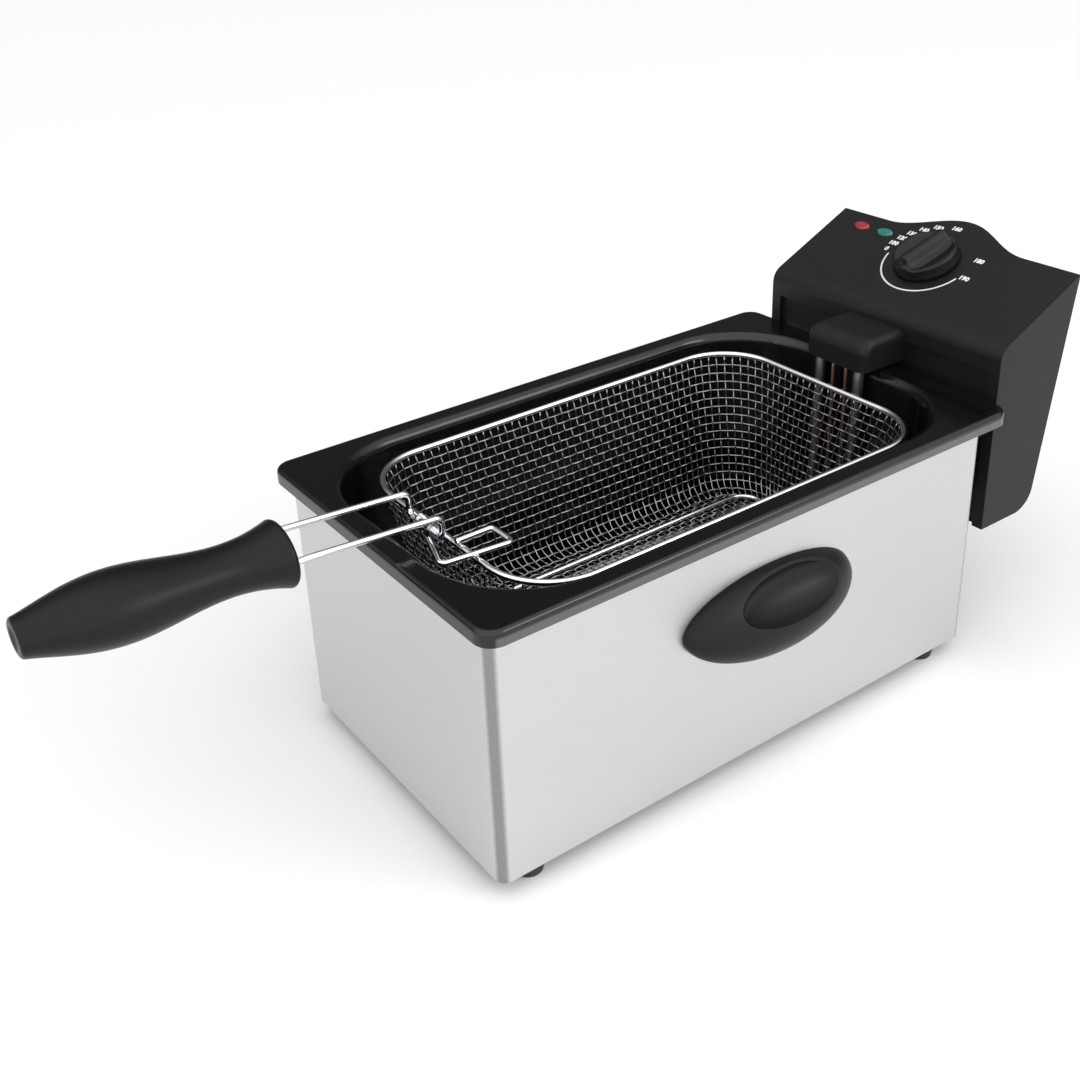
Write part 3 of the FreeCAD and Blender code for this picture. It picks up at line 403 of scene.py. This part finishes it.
KNOB_POINTS = 96
KNOB_TOP_RINGS, KNOB_EDGE_RINGS, KNOB_SKIRT_RINGS = 40, 6, 4
KNOB_MIDDLE_R, KNOB_TOP_R, KNOB_FOOT_R = 0.0004, 0.0193, 0.0205
KNOB_ROUND = 0.0017
KNOB_GAP = 0.0006
DISC_HEIGHT, BAR_HEIGHT = 0.0088, 0.0138
BAR_HALF, BAR_END = 0.0040, 0.0152
SCOOP_DEPTH, SCOOP_ACROSS, SCOOP_HALF = 0.0032, 0.0088, 0.0042
POINTER_TURN = math.radians(-11.7)


def knob_height(radius, angle):
    """Height of the knob's top: a disc with a bell-shaped hollow each side of a flat-topped bar.

    The bar is a fourth-power bell across and fades by a cosine step towards its two ends. The
    hollows fade by the sixth power of the radius towards the disc's edge.
    """
    across = np.abs(radius * np.sin(angle - POINTER_TURN))
    fade = np.clip((radius - BAR_END) / (KNOB_TOP_R - KNOB_ROUND - BAR_END), 0.0, 1.0)
    edge = 1.0 - (radius / KNOB_TOP_R) ** 6
    disc = DISC_HEIGHT - SCOOP_DEPTH * edge * np.exp(-(((across - SCOOP_ACROSS) / SCOOP_HALF) ** 2))
    bar = np.exp(-((across / BAR_HALF) ** 4)) * 0.5 * (1.0 + np.cos(math.pi * fade))
    return disc + (BAR_HEIGHT - disc) * bar


def knob_surface():
    """Rings from the middle of the top out, over a quarter-round edge and down a flared skirt."""
    angle = 2.0 * math.pi * np.arange(KNOB_POINTS)[None, :] / KNOB_POINTS
    top_radius = np.linspace(KNOB_MIDDLE_R, KNOB_TOP_R - KNOB_ROUND, KNOB_TOP_RINGS)[:, None] + 0.0 * angle
    top_height = knob_height(top_radius, angle)
    quarter = np.radians(np.linspace(0.0, 90.0, KNOB_EDGE_RINGS + 1))[1:, None]
    edge_radius = top_radius[-1:] + KNOB_ROUND * np.sin(quarter)
    edge_height = top_height[-1:] - KNOB_ROUND * (1.0 - np.cos(quarter))
    down = np.linspace(0.0, 1.0, KNOB_SKIRT_RINGS + 1)[1:, None]
    skirt_radius = KNOB_TOP_R + (KNOB_FOOT_R - KNOB_TOP_R) * down + 0.0 * angle
    skirt_height = edge_height[-1:] + (KNOB_GAP - edge_height[-1:]) * down
    radius = np.concatenate([top_radius, edge_radius, skirt_radius])
    height = np.concatenate([top_height, edge_height, skirt_height])
    across = np.cos(angle)[..., None] * DIAL_BACK + np.sin(angle)[..., None] * DIAL_LEFT
    return DIAL_CENTRE + radius[..., None] * across + height[..., None] * DIAL_OUT


knob_grid = knob_surface()
last_ring = (len(knob_grid) - 1) * KNOB_POINTS
knob_ends = [list(range(KNOB_POINTS)), list(range(last_ring, last_ring + KNOB_POINTS))[::-1]]
knob_faces = ring_faces(len(knob_grid), KNOB_POINTS)[:, ::-1].tolist() + knob_ends
knob_plastic = grained_plastic("knob_black_plastic", (0.006, 0.006, 0.0065), 0.34, 0.3)
knob_cap = add_piece("knob_cap", knob_grid, knob_faces, "knob", knob_plastic)
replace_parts(knob_cap, "temperature_knob")


# ---- Heating element -----------------------------------------------------------------
# A bent steel-sheathed tube with three hairpins, darkened by heat, on two straps. Two
# copper bulbs beside it sense the oil.

element_steel = worked_metal("heated_steel", (0.40, 0.39, 0.38), 0.35)
dress(element_steel, "heating_element", "element_support")
dress(worked_metal("bulb_copper", (0.70, 0.42, 0.28), 0.3), "thermostat_sensor", "cutout_sensor")


# ---- Basket frame --------------------------------------------------------------------
# Chromed steel: the stout rim wire, a frame wire on the floor, four wire feet, a bent
# bracket and two lugs at the front of the rim, and the handle's two wires, which hinge there.

chrome = Finish("bright_chrome", Base_Color=(0.82, 0.82, 0.84, 1.0), Metallic=1.0)
chrome.feed(Roughness=0.10 + 0.10 * chrome.grain(per_metre=200.0))
dress(chrome.material, "basket_rim", "basket_floor_frame", "basket_feet", "basket_bracket")
dress(chrome.material, "basket_pivot_lugs", "handle_wires")


# ---- Woven basket --------------------------------------------------------------------
# Tinned steel wire, 1 mm thick, woven over and under in a mesh of about 5 mm and pressed
# into a tub: upright wires and hoops make the wall, and a two-way grid makes the floor.

tub_low, tub_high = np.array(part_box("basket_mesh"))
TUB_CENTRE = 0.5 * (tub_low + tub_high)
SHEET_HALF = 0.0008
TOP_HALF = 0.5 * (tub_high - tub_low)[:2] - SHEET_HALF
TOP_Z = tub_high[2]
FLOOR_Z = tub_low[2] + SHEET_HALF
TOP_CORNER_R = 0.0352
FLOOR_CORNER_R = 0.0292
SHRINK = np.array([0.0135, 0.0220])
INSET = 0.0178
ROUND_R = 0.0100
WEAVE_R = 0.00050
WEAVE_LIFT = 0.00045
WIRE_SIDES = 5
LONG_STEPS, SHORT_STEPS, CORNER_STEPS = 40, 18, 11
HOOPS = 17
GRID_PITCH = 0.0044
ACROSS_RINGS, ALONG_RINGS = 47, 103

wall_angle = math.atan2(INSET, TOP_Z - FLOOR_Z)
round_turn = 0.5 * math.pi - wall_angle
wall_length = math.hypot(INSET, TOP_Z - FLOOR_Z) - ROUND_R * math.tan(0.5 * round_turn)
round_length = ROUND_R * round_turn
profile_length = wall_length + round_length

wire_tin = Finish("tinned_wire", Metallic=1.0)
wire_dulling = wire_tin.grain(per_metre=350.0, detail=3.0)
wire_tin.feed(Base_Color=wire_tin.blend(wire_dulling, (0.14, 0.14, 0.14), (0.52, 0.52, 0.53)))
wire_tin.feed(Roughness=0.16 + 0.14 * wire_dulling)


def tub_profile(run):
    """Inset, height and lean after a run down the wall: a straight wall, then a quarter round."""
    lean = wall_angle + np.clip(run - wall_length, 0.0, round_length) / ROUND_R
    straight = np.minimum(run, wall_length)
    inset = straight * math.sin(wall_angle) + ROUND_R * (math.cos(wall_angle) - np.cos(lean))
    height = TOP_Z - straight * math.cos(wall_angle) - ROUND_R * (np.sin(lean) - math.sin(wall_angle))
    return inset, height, lean


def tub_point(step, run, lift):
    """A point of the tub's wall, by upright wires round it and by a run down it, lifted outwards.

    The outline is a rounded oblong: two centre coordinates that go from side to side and an
    angle that turns at the corners, each a straight-line function of the step.
    """
    legs = [0, LONG_STEPS, CORNER_STEPS, SHORT_STEPS, CORNER_STEPS, LONG_STEPS, CORNER_STEPS]
    knots = np.cumsum(legs + [SHORT_STEPS, CORNER_STEPS])
    side_x = np.interp(step, knots, [-1, 1, 1, 1, 1, -1, -1, -1, -1])
    side_y = np.interp(step, knots, [1, 1, 1, -1, -1, -1, -1, 1, 1])
    angle = np.radians(np.interp(step, knots, [90, 90, 0, 0, -90, -90, -180, -180, -270]))
    inset, height, lean = tub_profile(run)
    share = inset / INSET
    corner = TOP_CORNER_R + (FLOOR_CORNER_R - TOP_CORNER_R) * share + lift * np.cos(lean)
    straight_x = TOP_HALF[0] - TOP_CORNER_R - (SHRINK[0] + FLOOR_CORNER_R - TOP_CORNER_R) * share
    straight_y = TOP_HALF[1] - TOP_CORNER_R - (SHRINK[1] + FLOOR_CORNER_R - TOP_CORNER_R) * share
    x = TUB_CENTRE[0] + straight_x * side_x + corner * np.cos(angle)
    y = TUB_CENTRE[1] + straight_y * side_y + corner * np.sin(angle)
    return np.stack([x, y, height - lift * np.sin(lean)], axis=-1)


def unit(vectors):
    """Vectors divided by their lengths."""
    return vectors / np.linalg.norm(vectors, axis=-1, keepdims=True)


def wires(name, paths, outward, closed):
    """One piece of round wires along many paths at once.

    At each place a ring of points turns about the path, from the sheet's outward direction
    towards the direction square to that and to the path. Open wires get flat ends.
    """
    if closed:
        tangent = unit(np.roll(paths, -1, axis=1) - np.roll(paths, 1, axis=1))
    else:
        tangent = unit(np.gradient(paths, axis=1))
    first = unit(outward - np.sum(outward * tangent, axis=-1, keepdims=True) * tangent)
    second = np.cross(tangent, first)
    around = 2.0 * math.pi * np.arange(WIRE_SIDES)[:, None] / WIRE_SIDES
    spread = np.cos(around) * first[..., None, :] + np.sin(around) * second[..., None, :]
    count, rings = paths.shape[:2]
    start = rings * WIRE_SIDES * np.arange(count)[:, None, None]
    faces = (start + ring_faces(rings, WIRE_SIDES, closed)[None]).reshape(-1, 4).tolist()
    if not closed:
        ring = np.arange(WIRE_SIDES)
        faces += (start[..., 0] + ring[::-1]).tolist()
        faces += (start[..., 0] + (rings - 1) * WIRE_SIDES + ring).tolist()
    surface = paths[..., None, :] + WEAVE_R * spread
    return add_piece(name, surface, faces, "basket", wire_tin.material)


uprights = LONG_STEPS * 2 + SHORT_STEPS * 2 + CORNER_STEPS * 4
hoop_pitch = profile_length / HOOPS
upright_step, upright_run = np.meshgrid(
    np.arange(uprights) * 1.0, np.linspace(0.0, profile_length, 2 * HOOPS + 1), indexing="ij"
)
upright_lift = WEAVE_LIFT * np.cos(math.pi * (upright_step + upright_run / hoop_pitch))
upright_path = tub_point(upright_step, upright_run, upright_lift)
upright_out = tub_point(upright_step, upright_run, upright_lift + WEAVE_R) - upright_path
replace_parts(wires("basket_uprights", upright_path, upright_out, False), "basket_mesh")

hoop_run, hoop_step = np.meshgrid(
    hoop_pitch * np.arange(1, HOOPS + 1), 0.5 * np.arange(2 * uprights), indexing="ij"
)
hoop_lift = -WEAVE_LIFT * np.cos(math.pi * (hoop_step + hoop_run / hoop_pitch))
hoop_path = tub_point(hoop_step, hoop_run, hoop_lift)
hoop_out = tub_point(hoop_step, hoop_run, hoop_lift + WEAVE_R) - hoop_path
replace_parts(wires("basket_hoops", hoop_path, hoop_out, True), "basket_mesh")

floor_inset, floor_height, _ = tub_profile(profile_length)
floor_share = floor_inset / INSET
floor_corner = TOP_CORNER_R + (FLOOR_CORNER_R - TOP_CORNER_R) * floor_share
floor_half = TOP_HALF - SHRINK * floor_share


def floor_wires(name, along, across, rings, side):
    """Straight floor wires along one axis at an even pitch, each as long as the floor is there.

    A wire ends where the outline's side or its corner circle crosses it, and it rises and
    falls as a cosine whose sign changes from wire to wire.
    """
    count = int(floor_half[across] / GRID_PITCH)
    place = GRID_PITCH * np.arange(-count, count + 1)
    past = np.clip(np.abs(place) - floor_half[across] + floor_corner, 0.0, floor_corner)
    reach = floor_half[along] - floor_corner + np.sqrt(floor_corner ** 2 - past ** 2)
    travel = reach[:, None] * np.linspace(-1.0, 1.0, rings)[None, :]
    crossing = (travel + place[:, None]) / GRID_PITCH
    path = np.zeros(travel.shape + (3,))
    path[..., along] = TUB_CENTRE[along] + travel
    path[..., across] = TUB_CENTRE[across] + place[:, None]
    path[..., 2] = floor_height + side * WEAVE_LIFT * np.cos(math.pi * crossing)
    upward = np.zeros_like(path) + np.array([0.0, 0.0, 1.0])
    return wires(name, path, upward, False)


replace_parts(floor_wires("basket_floor_across", 1, 0, ACROSS_RINGS, 1.0), "basket_mesh")
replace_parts(floor_wires("basket_floor_along", 0, 1, ALONG_RINGS, -1.0), "basket_mesh")


# ---- Grips ---------------------------------------------------------------------------
# The basket's grip and the two side handles are thick black heat-proof mouldings with a
# slightly softer sheen than the head.

grip_plastic = grained_plastic("grip_black_plastic", (0.007, 0.007, 0.0075), 0.36, 0.22)
dress(grip_plastic, "handle_grip", "side_handle_right", "side_handle_left")


# ---- Studio --------------------------------------------------------------------------
# A pale floor, a room that is bright above and behind the viewer and dim beyond the fryer,
# and one soft lamp from the near right.

def facing(away, roll=0.0):
    """The turn of a lamp or a camera, as the columns right, up and away from what it looks at.

    Right starts level, and up square to it and to away. The roll turns both about away.
    """
    back = unit(away)
    level = unit(np.cross([0.0, 0.0, 1.0], back))
    rise = np.cross(back, level)
    right = math.cos(roll) * level + math.sin(roll) * rise
    up = math.cos(roll) * rise - math.sin(roll) * level
    return np.stack([right, up, back], axis=1)


def stand(name, data, place, turn):
    """Puts a lamp or a camera at its place in the room, turned."""
    thing = bpy.data.objects.new(name, data)
    thing.matrix_world = Matrix.Translation(place.tolist()) @ Matrix(turn.tolist()).to_4x4()
    bpy.context.collection.objects.link(thing)
    return thing


FLOOR_HALF = 6.0
floor_corners = FLOOR_HALF * np.array([[-1, -1, 0], [1, -1, 0], [1, 1, 0], [-1, 1, 0]])
floor_mesh = bpy.data.meshes.new("studio_floor")
floor_mesh.from_pydata(floor_corners.tolist(), [], [(0, 1, 2, 3)])
floor_paint = Finish("studio_paint", Base_Color=(0.92, 0.92, 0.92, 1.0), Roughness=0.6)
floor_mesh.materials.append(floor_paint.material)
floor = bpy.data.objects.new("studio_floor", floor_mesh)
bpy.context.collection.objects.link(floor)

AIR_AXIS = (-0.45, -0.65, 0.61)
AIR_FROM, AIR_FULL = -0.30, 0.55
AIR_DIM, AIR_BRIGHT = 0.10, 1.55
AIR_WHITE = (1.0, 1.0, 1.0, 1.0)
world = bpy.data.worlds.new("studio_air")
world.use_nodes = True
air = Nodes(world.node_tree)
air_direction = air.node("ShaderNodeTexCoord", {}, {}, "Generated")
air_share = air.node(
    "ShaderNodeVectorMath", {"operation": "DOT_PRODUCT"}, {0: air_direction, 1: AIR_AXIS}, "Value"
)
air_limits = {"From Min": AIR_FROM, "From Max": AIR_FULL, "To Min": AIR_DIM, "To Max": AIR_BRIGHT}
air_strength = air.node(
    "ShaderNodeMapRange", {"interpolation_type": "SMOOTHSTEP"}, {"Value": air_share, **air_limits}
)
background = air.tree.nodes["Background"]
air.plug(background.inputs["Color"], AIR_WHITE)
air.plug(background.inputs["Strength"], air_strength)
bpy.context.scene.world = world
bpy.context.scene.view_settings.view_transform = "Standard"

KEY_PLACE = np.array([0.9, -1.5, 1.2])
KEY_AIM = np.array([0.0, 0.0, 0.1])
key_light = bpy.data.lights.new("key_lamp", "AREA")
key_light.shape = "RECTANGLE"
key_light.size = 0.9
key_light.size_y = 0.7
key_light.energy = 7.0
stand("key_lamp", key_light, KEY_PLACE, facing(KEY_PLACE - KEY_AIM))


# ---- Camera --------------------------------------------------------------------------
# A longish lens from the front left, a little above the basket. Its place is counted in
# housing lengths, to its right, up and away, from the housing's lowest near left corner.

AZIMUTH = math.radians(-34.793)
ELEVATION = math.radians(25.517)
ROLL = math.radians(-2.339)
HOUSING_LENGTH = 0.330
EYE_FROM_CORNER = np.array([0.054260, 0.663787, 1.92620])
FRAME_SIDE = 1080.0
FOCAL_LENGTH = 1355.694
SHIFT_UP = -120.0
SENSOR = 36.0

camera_away = np.array([
    math.sin(AZIMUTH) * math.cos(ELEVATION),
    -math.cos(AZIMUTH) * math.cos(ELEVATION),
    math.sin(ELEVATION),
])
camera_turn = facing(camera_away, ROLL)
eye = np.array(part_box("outer_housing")[0]) + HOUSING_LENGTH * camera_turn @ EYE_FROM_CORNER
lens = bpy.data.cameras.new("camera")
lens.sensor_width = SENSOR
lens.lens = SENSOR * FOCAL_LENGTH / FRAME_SIDE
lens.shift_y = SHIFT_UP / FRAME_SIDE
bpy.context.scene.camera = stand("camera", lens, eye, camera_turn)
